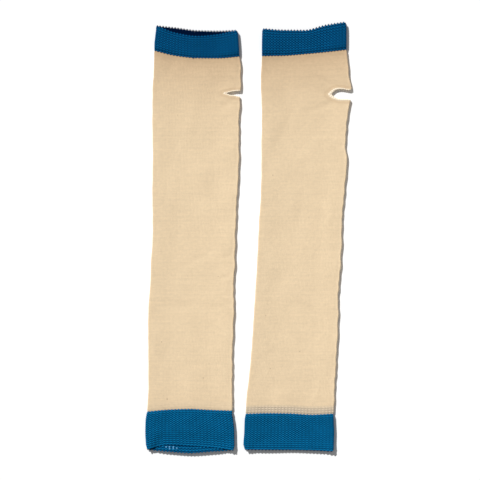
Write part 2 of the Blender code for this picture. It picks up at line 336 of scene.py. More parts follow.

# Small dark fibres in the cream, a blue thread end at a seam and pale blue spots in a mouth:
# x, y, radius and strength
FIBRES = [
    (-80.5, -161.5, 0.45, 0.75),
    (-86.0, -104.5, 0.50, 0.50),
    (-44.5, -140.5, 0.50, 0.45),
    (-70.0, 122.0, 0.45, 0.35),
    (-29.5, -39.0, 0.45, 0.35),
    (25.0, 62.0, 0.50, 0.45),
    (22.5, -131.0, 0.55, 0.35),
    (52.0, -114.0, 0.50, 0.40),
    (18.0, -78.0, 0.45, 0.35),
    (61.0, 20.0, 0.40, 0.30),
]
THREAD_END = [(-54.1, 178.9, 0.70, 0.95)]
PALE_MOUTH_SPOTS = [
    (-81.5, -209.3, 0.58, 1.0),
    (-78.2, -209.2, 0.58, 1.0),
    (-78.0, -210.9, 0.58, 0.8),
    (-74.3, -209.3, 0.58, 1.0),
    (-74.4, -210.8, 0.58, 0.8),
    (-70.8, -210.5, 0.58, 0.9),
]

WARMERS = [
    Warmer(
        name="left",
        sections=LEFT_SECTIONS,
        courses=LEFT_COURSES,
        slit_up=358.5,
        slit=LEFT_SLIT,
        rims=Rims(0.75, 0.8, 0.75),
        mouths={"hand": 1.8, "arm": -1.3},
        curls={"hand": NO_CURL, "arm": (1.8, 3.7, 3.6, 3.9, 1.4)},
        ribbed=0.15,
        creases=LEFT_CREASES,
    ),
    Warmer(
        name="right",
        sections=RIGHT_SECTIONS,
        courses=RIGHT_COURSES,
        slit_up=357.5,
        slit=RIGHT_SLIT,
        rims=Rims(0.75, 2.2, 0.9),
        mouths={"hand": 0.8, "arm": 0.4},
        curls={"hand": NO_CURL, "arm": (1.5, 1.4, 1.1, 1.4, 1.8)},
        ribbed=1.0,
        creases=RIGHT_CREASES,
    ),
]

# Colours, as linear light
CREAM = (0.840, 0.660, 0.436, 1.0)
# Tan that paints shade into the cream, and a darker tan by the arm seam
PAINTED_SHADE_TAN = (0.600, 0.418, 0.250, 1.0)
# Painted shade between the jersey's stitches
CREAM_PAINTED_GAP_SHADE = (0.62, 0.44, 0.26, 1.0)
SEAM_TAN = (0.59, 0.49, 0.367, 1.0)
FIBRE_BROWN = (0.30, 0.17, 0.08, 1.0)
CORD_CREAM = (0.97, 0.85, 0.67, 1.0)
CORD_SHADOW = (0.66, 0.50, 0.33, 1.0)
# Painted light on the rib's stitch tops and painted shade in its grooves
BLUE_CREST = {"hand": (0.0020, 0.113, 0.283, 1.0), "arm": (0.0026, 0.160, 0.358, 1.0)}
BLUE_GROOVE = {"hand": (0.0004, 0.014, 0.050, 1.0), "arm": (0.0006, 0.016, 0.055, 1.0)}
# Navy painted shade inside the mouths, and how much of it each end has
NAVY_PAINTED_SHADE = (0.0002, 0.006, 0.028, 1.0)
PALE_BLUE = (0.13, 0.38, 0.64, 1.0)
INSIDE_PAINTED_SHADE = {"hand": 1.0, "arm": 0.0}
FLOOR_WHITE = (0.97, 0.97, 0.97)

# Painted shade in the cream, as tan, from where each starts, and a darker tan towards the arm seam;
# then painted light on the right fold and painted shade by the hand cuff
HAND_PAINTED_SHADE = Fade(0.75, 38.0, 1.3)
HAND_SEAM_PAINTED_SHADE = Fade(0.25, 3.0, 1.0)
ARM_SEAM_TAN = Fade(0.18, 20.0, 1.0)
LEFT_FOLD_PAINTED_SHADE = Fade(0.17, 2.5, 1.0)
SLIT_PAINTED_SHADE = Fade(0.30, 1.0, 2.0)
SLIT_PAINTED_SHADE_PLACE = 1.6
SLIT_PAINTED_SHADE_END = 25.0
RIGHT_FOLD_PAINTED_LIGHT = Fade(1.0, 1.6, 2.0)
HAND_SEAM_PAINTED_DARK = Fade(0.8, 3.0, 1.0)

# Jersey stitches, in parts of a wale and of their height, and the knots by the arm seam
STITCH_FOOT = 0.10
STITCH_LEAN = 0.20
STITCH_HALF_WIDTH = 0.17
STITCH_END_HEIGHT = 0.55
# Painted shade between the stitches
PAINTED_GAP_SHADE = 0.12
KNOT_PITCH = 2.3
KNOT_CONTRAST = 0.07
KNOT_HEIGHT = 0.8
RIBBED_TAN = 0.85
# Painted light and shade at the edges of the cream
PAINTED_EDGE_CONTRAST = 0.26
SPECK_FADE = (1.6, 0.6)

# Unevenness of a colour: its size, its stretch over wales and courses, the noise's scale and detail
KNIT_NOISES = [
    (0.055, 0.035, 1.0, 0.55, 1.5),
    (0.06, 0.12, 1.0, 1.4, 1.0),
    (0.015, 1.0, 0.02, 0.6, 1.0),
]

# The same all over: its size, then the noise's scale, detail and roughness
JERSEY_GRAINS = [(0.055, 55.0, 3.0, 0.6), (0.10, 330.0, 2.0, 0.7)]
RIB_GRAINS = [(0.14, 90.0, 2.0, 0.5), (0.25, 420.0, 2.0, 0.5)]
FLOOR_GRAINS = [(0.004, 3.0, 1.0, 0.5)]

# Yarn fibres: scale and detail of their noise. Bumps: depth in metres and strength
FUZZ = (2600.0, 2.0)
FUZZ_HEIGHT = 0.35
JERSEY_BUMP = (0.00022, 0.65)
RIB_FIBRES = (6.0, 2.0)
RIB_FIBRE_FINENESS = 9.0
RIB_BUMP = (0.00012, 0.7)
CORD_FIBRES = (1800.0, 2.0)
CORD_BUMP = (0.0001, 0.6)

# Where shades turn from dark to light, and finishes: roughness, sheen and specular level
RIB_SHADES = (0.08, 0.92)
CORD_SHADES = (0.2, 0.8)
JERSEY_FINISH = (0.95, 0.10, 0.12)
RIB_FINISH = (1.0, 0.0, 0.02)
CORD_FINISH = (0.9, 0.1, 0.1)
FLOOR_FINISH = (1.0, 0.0, 0.0)
SHEEN_ROUGHNESS = 0.6


def between(start, end, part):
    """The value at a part of the way from start to end."""
    return start + (end - start) * part


def ease(part):
    """A smooth step from 0 to 1."""
    part = np.clip(part, 0.0, 1.0)
    return part * part * (3.0 - 2.0 * part)


def smooth(places, values, at):
    """A smooth curve through the values at the places, with no overshoot, level beyond its ends."""
    places = np.asarray(places, float)
    values = np.asarray(values, float)
    spans = np.diff(places)
    slopes = np.diff(values) / spans
    before, after = slopes[:-1], slopes[1:]
    total = np.where(before + after == 0.0, 1.0, before + after)
    inner = np.where(before * after > 0.0, 2.0 * before * after / total, 0.0)
    ends = np.concatenate([slopes[:1], inner, slopes[-1:]])
    at = np.clip(at, places[0], places[-1])
    index = np.clip(np.searchsorted(places, at, side="right") - 1, 0, len(spans) - 1)
    t = (at - places[index]) / spans[index]
    bend_in = (ends[index] - slopes[index]) * t * (1.0 - t) ** 2
    bend_out = (slopes[index] - ends[index + 1]) * t ** 2 * (1.0 - t)
    return between(values[index], values[index + 1], t) + spans[index] * (bend_in + bend_out)


def waver(wave, along, across):
    """An uneven wave along one way, which sways as it goes along the other."""
    return wave.size * np.sin(along / wave.length + wave.sway * np.sin(across / wave.sway_length))


def folds(warmer, up):
    """x of the left and right folds at a height, the jersey's with its small ripples."""
    places, lefts, rights = zip(*warmer.sections)
    arm, hand = seam_middles(warmer)
    free = ease((up - arm - RIPPLE_START) / RIPPLE_EASE) * ease((hand - RIPPLE_START - up) / RIPPLE_EASE)
    left_wave = sum(waver(wave, up, up) for wave in LEFT_RIPPLES)
    right_wave = sum(waver(wave, up, up) for wave in RIGHT_RIPPLES)
    return smooth(places, lefts, up) + free * left_wave, smooth(places, rights, up) + free * right_wave


def course(warmer, name, share):
    """Height of a hem or seam at a share of the way from the left fold to the right."""
    return smooth(LINE_SHARES, warmer.courses[name], share)


def course_middle(warmer, name):
    """Mean height of a hem or seam."""
    return float(np.mean(warmer.courses[name]))


def seam_middles(warmer):
    """Mean heights of the arm and hand seams."""
    return course_middle(warmer, "arm_seam"), course_middle(warmer, "hand_seam")


def fold_outline():
    """A pressed fold of unit radius, from the back panel to the front: x, z and distance run."""
    turn = np.radians(np.linspace(BACK, FRONT, FOLD_SAMPLES))
    x = np.clip(np.cos(turn), 0.0, 1.0) ** FOLD_SQUARENESS
    z = np.sign(np.sin(turn)) * np.abs(np.sin(turn)) ** FOLD_SQUARENESS
    run = np.concatenate([[0.0], np.cumsum(np.hypot(np.diff(x), np.diff(z)))])
    return x, z, run


FOLD_X, FOLD_Z, FOLD_RUN = fold_outline()


def round_fold(radius, side, distance):
    """Inset and outward direction of columns at distances round a fold. side is -1 at the left."""
    part = distance / radius
    at = part if side > 0.0 else FOLD_RUN[-1] - part
    out_x = side * np.interp(at, FOLD_RUN, FOLD_X)
    out_z = np.interp(at, FOLD_RUN, FOLD_Z)
    return radius * (out_x - side), out_x, out_z


def way_round(width, radius):
    """Distance all round a flattened tube."""
    return 2.0 * (width - 2.0 * radius + radius * FOLD_RUN[-1])


def even_columns(width, radius, count):
    """Columns spaced evenly round a flattened tube, from the back panel's left edge."""
    panel = width - 2.0 * radius
    arc = radius * FOLD_RUN[-1]
    round_all = way_round(width, radius)
    spot = np.arange(count) * round_all / count
    t = np.clip(spot / panel, 0.0, 1.0)
    share = t.copy()
    inset = (1.0 - 2.0 * t) * radius
    out_x = np.zeros(count)
    out_z = np.full(count, -1.0)
    right = (spot > panel) & (spot < panel + arc)
    share[right] = 1.0
    inset[right], out_x[right], out_z[right] = round_fold(radius, 1.0, spot[right] - panel)
    front = (spot >= panel + arc) & (spot <= 2.0 * panel + arc)
    share[front] = 1.0 - (spot[front] - panel - arc) / panel
    inset[front] = (1.0 - 2.0 * share[front]) * radius
    out_z[front] = 1.0
    left = spot > 2.0 * panel + arc
    share[left] = 0.0
    inset[left], out_x[left], out_z[left] = round_fold(radius, -1.0, spot[left] - 2.0 * panel - arc)
    return Columns(share, inset, out_x, out_z, front, spot, round_all)


def panel_columns(width, radius, depth):
    """Shares and insets across one panel, from the left fold to the right, finer by the slit."""
    fine_count = int(round((depth - radius) / FINE_STEP))
    coarse_count = int(round((width - radius - depth) / COARSE_STEP))
    t = np.linspace(0.0, 1.0, coarse_count + 1)[:-1]
    fine_inset = -np.linspace(depth, radius, fine_count + 1)
    share = np.concatenate([t, np.ones(fine_count + 1)])
    inset = np.concatenate([between(radius, -depth, t), fine_inset])
    return share, inset


def body_columns(width, radius, depth):
    """Columns round a body, with one where the slit ends on both panels."""
    share, inset = panel_columns(width, radius, depth)
    distance = radius * np.linspace(0.0, FOLD_RUN[-1], FOLD_COLUMNS + 2)[1:-1]
    flat = np.zeros(len(share))
    right_inset, right_x, right_z = round_fold(radius, 1.0, distance)
    left_inset, left_x, left_z = round_fold(radius, -1.0, distance)
    ones = np.ones(FOLD_COLUMNS)
    share = np.concatenate([share, ones, share[::-1], 0.0 * ones])
    inset = np.concatenate([inset, right_inset, inset[::-1], left_inset])
    out_x = np.concatenate([flat, right_x, flat, left_x])
    out_z = np.concatenate([flat - 1.0, right_z, flat + 1.0, left_z])
    on_top = np.concatenate([flat > 0.0, ones < 0.0, flat < 1.0, ones < 0.0])
    x = share * width + inset
    z = radius * (1.0 + out_z)
    steps = np.hypot(np.diff(x, append=x[0]), np.diff(z, append=z[0]))
    spot = np.concatenate([[0.0], np.cumsum(steps)[:-1]])
    return Columns(share, inset, out_x, out_z, on_top, spot, float(steps.sum()))


def soft_lift(warmer, share, up, from_fold):
    """Height of the soft creases and slow swells of the panel that lies on top."""
    left, right = folds(warmer, up)
    x = between(left, right, share)
    lift = waver(SWELL_ACROSS, x, up) * np.sin(up / SWELL_SLANT[1] + x / SWELL_SLANT[0])
    lift += waver(SWELL_ALONG, up, x)
    for place, crease_up, length, width, height, angle in warmer.creases:
        edge_left, edge_right = folds(warmer, float(crease_up))
        off = x - between(edge_left, edge_right, place)
        rise = up - crease_up
        turn = radians(angle)
        along = (off * cos(turn) + rise * sin(turn)) / length
        across = (rise * cos(turn) - off * sin(turn)) / width
        lift += CREASE_SIZE * height * np.exp(-(along ** 2) - across ** 2)
    return lift * ease(from_fold / CREASE_EASE)


def no_lift(share):
    """No lift anywhere."""
    return 0.0 * share


def surface(
    warmer, radius, flat_height, columns, up, depth, mouth=no_lift, fold_ease=FOLD_EASE, lift=no_lift
):
    """Points at a depth under the outer face of a flattened tube, rows by columns by xyz."""
    left, right = folds(warmer, up)
    x = left + (right - left) * columns.share[None, :] + columns.inset[None, :]
    z = radius * (1.0 + columns.out_z)[None, :] + np.zeros_like(x)
    from_fold = np.minimum(x - left, right - x) - radius
    share = (x - left) / (right - left)
    top = between(2.0 * radius, flat_height, ease(from_fold / fold_ease))
    top = top + mouth(from_fold) + soft_lift(warmer, share, up, from_fold)
    z = np.where(columns.on_top[None, :], top, z) + lift(share)
    x = x - depth * columns.out_x[None, :]
    z = z - depth * columns.out_z[None, :]
    return np.stack([x, up - PAIR_MIDDLE_UP, z], axis=-1)


def torus_faces(rows, count):
    """Quads of a grid that closes on itself round the tube and through the wall."""
    row = np.arange(rows)[:, None]
    column = np.arange(count)[None, :]
    after_row = (row + 1) % rows
    after_column = (column + 1) % count
    corners = [
        row * count + column,
        row * count + after_column,
        after_row * count + after_column,
        after_row * count + column,
    ]
    return np.stack(corners, axis=-1).reshape(-1, 4)


def torus_uvs(across, along, round_all):
    """Corner coordinates for torus_faces, unbroken where the grid closes round the tube."""
    rows, count = along.shape
    after = np.minimum(np.arange(rows) + 1, rows - 1)
    next_along = np.roll(along, -1, axis=1)
    first = across[None, :] + np.zeros_like(along)
    second = np.append(across[1:], round_all)[None, :] + np.zeros_like(along)
    u = np.stack([first, second, second, first], axis=-1)
    v = np.stack([along, next_along, next_along[after], along[after]], axis=-1)
    return np.stack([u, v], axis=-1).reshape(-1, 2)


def add_object(name, data):
    """A new object in the scene."""
    thing = bpy.data.objects.new(name, data)
    bpy.context.collection.objects.link(thing)
    return thing


def make_mesh(name, points, faces, uvs=None, floats=None):
    """A mesh object from arrays in millimetres, with corner coordinates and point values."""
    mesh = bpy.data.meshes.new(name)
    mesh.vertices.add(len(points))
    mesh.vertices.foreach_set("co", (points * MM).astype(np.float32).ravel())
    mesh.loops.add(faces.size)
    mesh.loops.foreach_set("vertex_index", faces.astype(np.int32).ravel())
    mesh.polygons.add(len(faces))
    mesh.polygons.foreach_set("loop_start", np.arange(0, faces.size, faces.shape[1], dtype=np.int32))
    mesh.update(calc_edges=True)
    if uvs is not None:
        layer = mesh.uv_layers.new(name="knit")
        layer.data.foreach_set("uv", uvs.astype(np.float32).ravel())
    for key, values in (floats or {}).items():
        attribute = mesh.attributes.new(key, "FLOAT", "POINT")
        attribute.data.foreach_set("value", values.astype(np.float32).ravel())
    mesh.validate()
    mesh.shade_smooth()
    return add_object(name, mesh)


def knit_relief(end, across, along):
    """Height and painted lightness, 0 to 1, of a 1 by 1 rib: leaning legs on ribs, purl bumps between."""
    a = across % 1.0 - 0.5
    groove = (across + 0.5) % 1.0 - 0.5
    rib = np.cos(2.0 * pi * a)
    row = np.cos(2.0 * pi * (along - LEG_REACH / 2.0))
    legs = np.zeros_like(rib + row)
    for behind in (0.0, 1.0):
        part = (along % 1.0 + behind) / LEG_REACH
        inside = np.clip(part, 0.0, 1.0)
        spread = between(LEG_SPREAD_LOW, LEG_SPREAD_HIGH, inside)
        plump = np.sin(pi * inside) ** LEG_PLUMPNESS
        for side in (-1.0, 1.0):
            off = (a - side * spread) / LEG_WIDTH
            legs = np.maximum(legs, np.sqrt(np.clip(1.0 - off ** 2, 0.0, 1.0)) * plump)
    centre = (along - LEG_REACH / 2.0) % 1.0 - 0.5
    purl = np.sqrt(np.clip(1.0 - (groove / PURL_WIDTH) ** 2 - (centre / PURL_LENGTH) ** 2, 0.0, 1.0))
    height = np.maximum(RIB_HEIGHT * (0.5 + 0.5 * rib) + LEG_HEIGHT * legs, PURL_HEIGHT * purl)
    # Painted light on the stitch tops and painted shade between them
    light = 0.5 + DOT_CONTRAST[end] * rib * row + ROW_CONTRAST[end] * row + RIB_CONTRAST[end] * rib
    return height, np.clip(light, 0.0, 1.0)


def cuff_height(warmer, end, columns, along, crest):
    """Heights of a cuff's points. along runs from 0 at the hem to 1 at the seam."""
    outward = OUTWARD[end]
    left, right = folds(warmer, course_middle(warmer, end + "_seam"))
    share = columns.share + columns.inset / (right - left)
    towards_front = (1.0 + columns.out_z) / 2.0
    front = course(warmer, end + "_hem_front", share)
    back = course(warmer, end + "_hem_back", share)
    hem = between(back, front, towards_front)
    from_fold = np.minimum(share, 1.0 - share) * (right - left)
    short = np.clip(1.0 - from_fold / CORNER_RADIUS, 0.0, 1.0)
    corner = CORNER_RADIUS * (1.0 - np.sqrt(1.0 - short ** 2))
    scallop = between(SCALLOP_BACK[end], SCALLOP_FRONT[end], towards_front)
    hem = hem + outward * (scallop * (crest - SCALLOP_MIDDLE) - corner)
    seam = course(warmer, end + "_seam", share) - outward * TEETH[end] * (crest - TEETH_MIDDLE)
    return between(hem[None, :], seam[None, :], along)


def cuff_rows(end, length):
    """A cuff's rows from the seam out to the hem, over its rim and back along the inside."""
    outside = np.linspace(1.0, 0.0, COURSES_IN_CUFF[end] * ROWS_PER_COURSE + 1)
    fine_end = INSIDE_FINE_DEPTH / length
    fine = np.linspace(0.0, fine_end, INSIDE_FINE_ROWS + 1)
    coarse = np.linspace(fine_end, 1.0, INSIDE_COARSE_ROWS + 1)[1:]
    rim = np.full(len(RIM_DEPTHS), RIM_PLACE)
    along = np.concatenate([outside, rim, fine, coarse])[:, None]
    outer = (np.arange(len(along)) < len(outside))[:, None]
    from_hem = np.clip(along, 0.0, 1.0) * length
    near_hem = ease(1.0 - from_hem / MOUTH_DEPTH)
    near_seam = ease(1.0 - (length - from_hem) / SEAM_EASE[end])
    return CuffRows(along, outer, np.isclose(along, RIM_PLACE), from_hem, near_hem, near_seam)


def cuff_depth(end, rows, towards_front, relief, inner_relief):
    """Depth of a cuff's points under its outer face: outside, through the rim and inside."""
    thinning = HEM_THINNING[end] * rows.near_hem + SEAM_THINNING * rows.near_seam
    wall = between(RIB_WALL_BACK, RIB_WALL_FRONT - thinning, towards_front)
    relief_size = between(RIB_RELIEF_BACK, RIB_RELIEF_FRONT, towards_front)
    at_seam = between(SEAM_RELIEF, 1.0, ease((1.0 - rows.along) / RELIEF_EASE))
    at_hem = between(HEM_RELIEF, 1.0, ease(rows.along / RELIEF_EASE))
    bevel = HEM_BEVEL[end] * ease(1.0 - rows.from_hem / HEM_BEVEL_REACH) * towards_front
    inside = wall - INSIDE_RELIEF * (1.0 - inner_relief) * (1.0 - bevel)
    outside = relief_size * (1.0 - relief * at_hem * at_seam) + bevel
    outside = np.minimum(outside, inside - HEM_LEAST_WALL)
    through = np.where(rows.outer, 0.0, 1.0)
    through[rows.rim] = RIM_DEPTHS
    return between(outside, inside, through)


def cuff_mesh(warmer, end):
    """A ribbed cuff with every stitch raised, outside and inside."""
    seam = course_middle(warmer, end + "_seam")
    left, right = folds(warmer, seam + CUFF_WIDTH_PLACE * OUTWARD[end])
    width = float(right - left)
    ribs = int(round(way_round(width, RIB_RADIUS) / RIB_PITCH[end]))
    count = ribs * COLUMNS_PER_RIB
    columns = even_columns(width, RIB_RADIUS, count)
    across = np.arange(count) / COLUMNS_PER_RIB
    crest = 0.5 - 0.5 * np.cos(2.0 * pi * across)
    towards_front = (1.0 + columns.out_z) / 2.0
    rows = cuff_rows(end, abs(course_middle(warmer, end + "_hem_back") - seam))

    knitted = 1.0 - rows.along if OUTWARD[end] > 0.0 else rows.along
    courses = knitted * COURSES_IN_CUFF[end]
    relief, light = knit_relief(end, across[None, :], courses)
    inner_relief, inner_light = knit_relief(end, across[None, :] + 0.5, courses)
    depth = cuff_depth(end, rows, towards_front, relief, inner_relief)

    up = cuff_height(warmer, end, columns, rows.along, crest)
    back_hem = course(warmer, end + "_hem_back", np.clip(columns.share, 0.0, 1.0))
    to_back_hem = OUTWARD[end] * (back_hem[None, :] - up)
    curl = np.clip(1.0 - to_back_hem / CURL_REACH, 0.0, 1.0) ** 2

    def mouth(from_fold):
        """How far the front panel stands off the back one at the hem, or sinks on to it."""
        return warmer.mouths[end] * rows.near_hem * ease(from_fold / MOUTH_REACH[end])

    def lift(share):
        """How far the hem curls up off the surface."""
        return curl * smooth(LINE_SHARES, warmer.curls[end], np.clip(share, 0.0, 1.0))

    radius = between(RIB_RADIUS, SEAM_RADIUS, rows.near_seam)
    flat_height = between(RIB_WALL_BACK + LAYER_GAP + RIB_WALL_FRONT, SEAM_HEIGHT, rows.near_seam)
    fold_ease = between(FOLD_EASE, MOUTH_FOLD_EASE[end], rows.near_hem)
    points = surface(warmer, radius, flat_height, columns, up, depth, mouth, fold_ease, lift)
    points[..., 2] = np.maximum(points[..., 2], 0.0)
    # Painted shade: darker along the outside of the hem and dimmer on the stitches inside
    hem_shade = 1.0 - HEM_SHADE[end] * ease(1.0 - rows.from_hem / HEM_SHADE_REACH)
    shade = np.where(rows.outer, light * hem_shade, inner_light * INSIDE_LIGHT)
    # Navy painted shade inside the hand mouth, over its back rim too
    painted_inner_shade = np.where(rows.outer, 0.0, 1.0) * INSIDE_PAINTED_SHADE[end]
    inside = np.where(rows.rim | (rows.along == 0.0), painted_inner_shade * (towards_front < 0.5), painted_inner_shade)
    uvs = torus_uvs(across, courses + np.zeros((1, count)), float(ribs))
    faces = torus_faces(len(rows.along), count)
    # The inside attribute carries the navy painted shade
    floats = {"shade": shade, "inside": inside}
    return make_mesh(f"rib_{end}_{warmer.name}", points.reshape(-1, 3), faces, uvs, floats)


def seam_tilt(warmer, share, up):
    """How far the seams' slant and sag still move a course at this height."""
    tilt = 0.0
    for name in ("arm_seam", "hand_seam"):
        middle = course_middle(warmer, name)
        near = ease(1.0 - np.abs(up - middle) / SEAM_REACH)
        tilt = tilt + near * (course(warmer, name, share) - middle)
    return tilt


def slit_end(warmer):
    """How far in from the right fold the jersey is open, with room for the cord."""
    return warmer.slit[-1][0] + warmer.rims.tip


def cord_half_width(warmer, lip, inset):
    """Half the width of a slit's edge, which spreads towards the slit's end."""
    along_lip = warmer.rims.above if lip > 0.0 else warmer.rims.below
    part = np.clip(inset / slit_end(warmer), 0.0, 1.0) ** TIP_SPREAD
    return between(along_lip, warmer.rims.tip, part)


def lip_shift(warmer, lip, inset):
    """How far the jersey's edge stands back from the slit's middle, with room for the cord."""
    insets, above, below = zip(*warmer.slit)
    opening = above if lip > 0.0 else below
    room = np.sqrt(np.clip(1.0 - (inset / slit_end(warmer)) ** TIP_SQUARENESS, 0.0, 1.0))
    return smooth(insets, opening, inset) + cord_half_width(warmer, lip, inset) * room


def body_rows(warmer):
    """Nominal heights of a body's rows under and over the slit, closer together by it."""
    arm, hand = seam_middles(warmer)
    low = warmer.slit_up - SLIT_REACH
    high = warmer.slit_up + SLIT_REACH
    stretches = []
    for start, end, step in (
        (arm, low, COARSE_STEP),
        (low, warmer.slit_up, FINE_STEP),
        (warmer.slit_up, high, FINE_STEP),
        (high, hand, COARSE_STEP),
    ):
        count = int(round((end - start) / step))
        stretches.append(np.linspace(start, end, count + 1))
    under = np.concatenate([[arm - TUCK_LENGTH], stretches[0], stretches[1][1:]])
    over = np.concatenate([stretches[2], stretches[3][1:], [hand + TUCK_LENGTH]])
    return under, over


def body_points(warmer, columns, rows, lip, wall):
    """Points of the rows on one side of the slit, at a depth of 0 or the wall's."""
    up = rows[:, None] + np.zeros((1, len(columns.share)))
    left, right = folds(warmer, up)
    share = columns.share[None, :] + columns.inset[None, :] / (right - left)
    height = up + seam_tilt(warmer, share, up)
    inset = (1.0 - share) * (right - left)
    part = np.clip(1.0 - np.abs(up - warmer.slit_up) / SLIT_REACH, 0.0, 1.0) ** 2
    height = height + lip * lip_shift(warmer, lip, inset) * part
    arm, hand = seam_middles(warmer)
    beyond = np.maximum(up - (hand + TUCK_LENGTH - TUCK_EASE), (arm - TUCK_LENGTH + TUCK_EASE) - up)
    depth = np.maximum(wall, TUCK_DEPTH * ease(beyond / TUCK_EASE))
    flat_height = 2.0 * JERSEY_WALL + LAYER_GAP
    return surface(warmer, JERSEY_RADIUS, flat_height, columns, height, depth)


class Quads:
    """Quads with corner coordinates, gathered strip by strip."""

    def __init__(self, columns):
        self.u = columns.spot / WALE
        self.next_u = np.append(self.u[1:], columns.round_all / WALE)
        self.following = np.roll(np.arange(len(self.u)), -1)
        self.faces = []
        self.uvs = []

    def add(self, corners, u, v, flip):
        """Adds quads given as four rows of corners, turned over if need be."""
        if flip:
            corners, u, v = corners[::-1], u[::-1], v[::-1]
        self.faces.append(np.stack(corners, axis=-1).reshape(-1, 4))
        self.uvs.append(np.stack([np.stack(u, axis=-1), np.stack(v, axis=-1)], axis=-1).reshape(-1, 2))

    def wall(self, index, rows, flip):
        """The outer or inner skin of a tube, from its grid of points."""
        first, second = index[:-1], index[1:]
        after = self.following
        spread = np.zeros(first.shape)
        low = rows[:-1, None] / COURSE + spread
        high = rows[1:, None] / COURSE + spread
        u, next_u = self.u + spread, self.next_u + spread
        corners = [first, first[:, after], second[:, after], second]
        self.add(corners, [u, next_u, next_u, u], [low, low, high, high], flip)

    def rim(self, outer, inner, row, pick, flip):
        """A strip through the wall, at the picked columns of one row."""
        after = self.following[pick]
        u, next_u = self.u[pick], self.next_u[pick]
        v = np.full(len(pick), row / COURSE)
        corners = [outer[pick], inner[pick], inner[after], outer[after]]
        self.add(corners, [u, u, next_u, next_u], [v, v, v, v], flip)


def slit_loop(warmer, columns, free, under, over):
    """Rows round a slit: the middle of the wall's edge, the way out of it and half the cord's width."""
    ends = np.flatnonzero(free)
    ends = np.concatenate([[ends[0] - 1], ends, [ends[-1] + 1]])
    back = ends[-2:0:-1]
    outer, inner = (np.vstack([low[-1, ends], high[0, back]]) for low, high in zip(under, over))
    below = cord_half_width(warmer, -1.0, -columns.inset[ends])
    above = cord_half_width(warmer, 1.0, -columns.inset[back])
    half_width = np.concatenate([below, above])
    return np.hstack([(outer + inner) / 2.0, outer - inner, half_width[:, None]])


def body_mesh(warmer):
    """A jersey tube, slit for the thumb, with its ends tucked under the cuffs."""
    depth = slit_end(warmer)
    left, right = folds(warmer, warmer.slit_up)
    columns = body_columns(float(right - left), JERSEY_RADIUS, depth)
    count = len(columns.share)
    under, over = body_rows(warmer)
    low_out, low_in = (body_points(warmer, columns, under, -1.0, wall) for wall in (0.0, JERSEY_WALL))
    high_out, high_in = (body_points(warmer, columns, over, 1.0, wall) for wall in (0.0, JERSEY_WALL))

    free = np.isclose(columns.share, 1.0) & (columns.inset > -depth + SAME_PLACE)
    low_size = len(under) * count
    rest = (len(over) - 1) * count
    parted = int(free.sum())
    low_index = np.arange(low_size).reshape(-1, count)
    low_inner = low_index + low_size
    start = 2 * low_size
    upper_lip = low_index[-1].copy()
    upper_lip[free] = start + np.arange(parted)
    upper_lip_in = low_inner[-1].copy()
    upper_lip_in[free] = start + parted + np.arange(parted)
    start += 2 * parted
    high_index = np.vstack([upper_lip, start + np.arange(rest).reshape(-1, count)])
    high_inner = np.vstack([upper_lip_in, start + rest + np.arange(rest).reshape(-1, count)])
    groups = [low_out, low_in, high_out[0, free], high_in[0, free], high_out[1:], high_in[1:]]
    points = np.concatenate([group.reshape(-1, 3) for group in groups])

    quads = Quads(columns)
    for index, inner, rows in ((low_index, low_inner, under), (high_index, high_inner, over)):
        quads.wall(index, rows, False)
        quads.wall(inner, rows, True)
    everywhere = np.arange(count)
    slit_pick = np.flatnonzero(free | free[quads.following])
    quads.rim(low_index[0], low_inner[0], under[0], everywhere, False)
    quads.rim(high_index[-1], high_inner[-1], over[-1], everywhere, True)
    quads.rim(low_index[-1], low_inner[-1], under[-1], slit_pick, True)
    quads.rim(high_index[0], high_inner[0], over[0], slit_pick, False)

    loop = slit_loop(warmer, columns, free, (low_out, low_in), (high_out, high_in))
    looks = body_looks(warmer, points, loop)
    piece = make_mesh(f"jersey_{warmer.name}", points, np.vstack(quads.faces), np.vstack(quads.uvs), looks)
    return piece, loop


def fading(fade, distance):
    """A strength that fades out over a distance."""
    return fade.size * np.exp(-((distance / fade.reach) ** fade.power))


def body_looks(warmer, points, loop):
    """Painted shade and tan, painted light and shade at the edges, and ribbing of the cream at a body's
    points.
    """
    up = points[:, 1] + PAIR_MIDDLE_UP
    left, right = folds(warmer, up)
    from_left = points[:, 0] - left
    share = np.clip(from_left / (right - left), 0.0, 1.0)
    over_arm = up - course(warmer, "arm_seam", share)
    to_hand = np.maximum(course(warmer, "hand_seam", share) - up, 0.0)
    # Painted shade towards the hand cuff and by the left fold, and a darker tan by the arm seam
    painted_shade_and_tan = fading(HAND_PAINTED_SHADE, to_hand) + fading(HAND_SEAM_PAINTED_SHADE, to_hand)
    painted_shade_and_tan += fading(ARM_SEAM_TAN, np.maximum(over_arm, 0.0)) + fading(LEFT_FOLD_PAINTED_SHADE, from_left)
    # Painted shade round the slit's corded edge
    from_slit = np.linalg.norm(points[:, :2] - loop[:, :2].mean(axis=0), axis=1)
    near = np.flatnonzero(from_slit < SLIT_PAINTED_SHADE_END)
    offsets = points[near, None, :2] - loop[None, :, :2]
    distance = (np.sqrt((offsets ** 2).sum(axis=2)) - loop[None, :, 6]).min(axis=1)
    painted_shade_and_tan[near] += fading(SLIT_PAINTED_SHADE, distance - SLIT_PAINTED_SHADE_PLACE)
    # Painted light on the right fold, painted shade under the hand cuff
    edge = fading(RIGHT_FOLD_PAINTED_LIGHT, right - points[:, 0]) - fading(HAND_SEAM_PAINTED_DARK, to_hand)
    ribbed = warmer.ribbed * ease((CREAM_RIB_END - over_arm) / CREAM_RIB_FADE)
    return {"painted_shade_and_tan": np.clip(painted_shade_and_tan, 0.0, 1.0), "edge": edge, "ribbed": ribbed}


